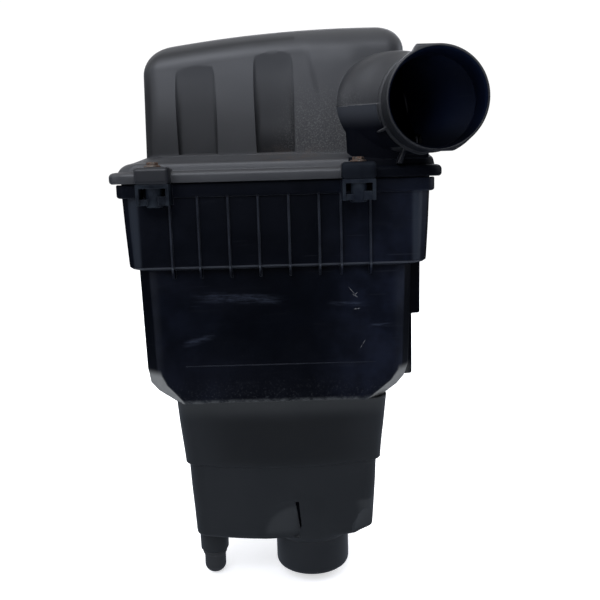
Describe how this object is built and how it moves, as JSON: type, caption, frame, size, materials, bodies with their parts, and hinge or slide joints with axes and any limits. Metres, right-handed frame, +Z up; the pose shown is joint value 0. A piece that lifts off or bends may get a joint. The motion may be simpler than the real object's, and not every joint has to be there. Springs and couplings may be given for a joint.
{
  "type": "air filter housing",
  "caption": "Moulded air filter housing: domed lid with front outlet spigot over a ribbed housing and lower chamber with downward intake spigot, holding a panel filter.",
  "frame": {"origin": "on the locating peg's axis, midway along the straight part of its rubber cap", "axes": "+Z up along the housing's height, -Y towards the front where the outlet spigot opens, +X to the right seen from the front"},
  "size_m": [0.2898, 0.254, 0.4695],
  "materials": {
    "lid_plastic": "satin moulded black plastic with fine grain",
    "housing_plastic": "satin to semi-gloss moulded black plastic",
    "chamber_plastic": "satin moulded black plastic",
    "filter_paper": "resin-impregnated pleated paper",
    "seal_foam": "soft moulded polyurethane",
    "hot_melt": "translucent hot-melt bead",
    "screw_steel": "plated steel with rust on the head",
    "insert_brass": "turned brass",
    "bush_rubber": "moulded rubber",
    "sleeve_steel": "zinc-plated steel tube"
  },
  "bodies": {
    "housing": {"main_housing": "housing_plastic", "lower_chamber": "chamber_plastic", "intake_tube": "chamber_plastic", "insert_front_left": "insert_brass", "insert_front_right": "insert_brass", "insert_rear_left": "insert_brass", "insert_rear_right": "insert_brass", "peg_cap": "bush_rubber", "mount_bush_left": "bush_rubber", "mount_bush_right": "bush_rubber", "mount_sleeve_left": "sleeve_steel", "mount_sleeve_right": "sleeve_steel"},
    "lid": {"lid_cover": "lid_plastic"},
    "filter": {"filter_pleats": "filter_paper", "filter_seal": "seal_foam", "filter_glue_beads": "hot_melt"},
    "screw_front_left": {"lid_screw_front_left": "screw_steel"},
    "screw_front_right": {"lid_screw_front_right": "screw_steel"},
    "screw_rear_left": {"lid_screw_rear_left": "screw_steel"},
    "screw_rear_right": {"lid_screw_rear_right": "screw_steel"}
  },
  "joints": [
    {"name": "lid_lift", "type": "slide", "parent": "housing", "child": "lid", "axis": [0, 0, 1], "range_m": [0, 0.16]},
    {"name": "filter_lift", "type": "slide", "parent": "housing", "child": "filter", "axis": [0, 0, 1], "range_m": [0, 0.08]},
    {"name": "screw_out_front_left", "type": "slide", "parent": "lid", "child": "screw_front_left", "axis": [0, 0, 1], "range_m": [0, 0.022]},
    {"name": "screw_out_front_right", "type": "slide", "parent": "lid", "child": "screw_front_right", "axis": [0, 0, 1], "range_m": [0, 0.022]},
    {"name": "screw_out_rear_left", "type": "slide", "parent": "lid", "child": "screw_rear_left", "axis": [0, 0, 1], "range_m": [0, 0.022]},
    {"name": "screw_out_rear_right", "type": "slide", "parent": "lid", "child": "screw_rear_right", "axis": [0, 0, 1], "range_m": [0, 0.022]}
  ],
  "couplings": [
    {"joint": "filter_lift", "follows": "lid_lift", "ratio": 0.5}
  ]
}
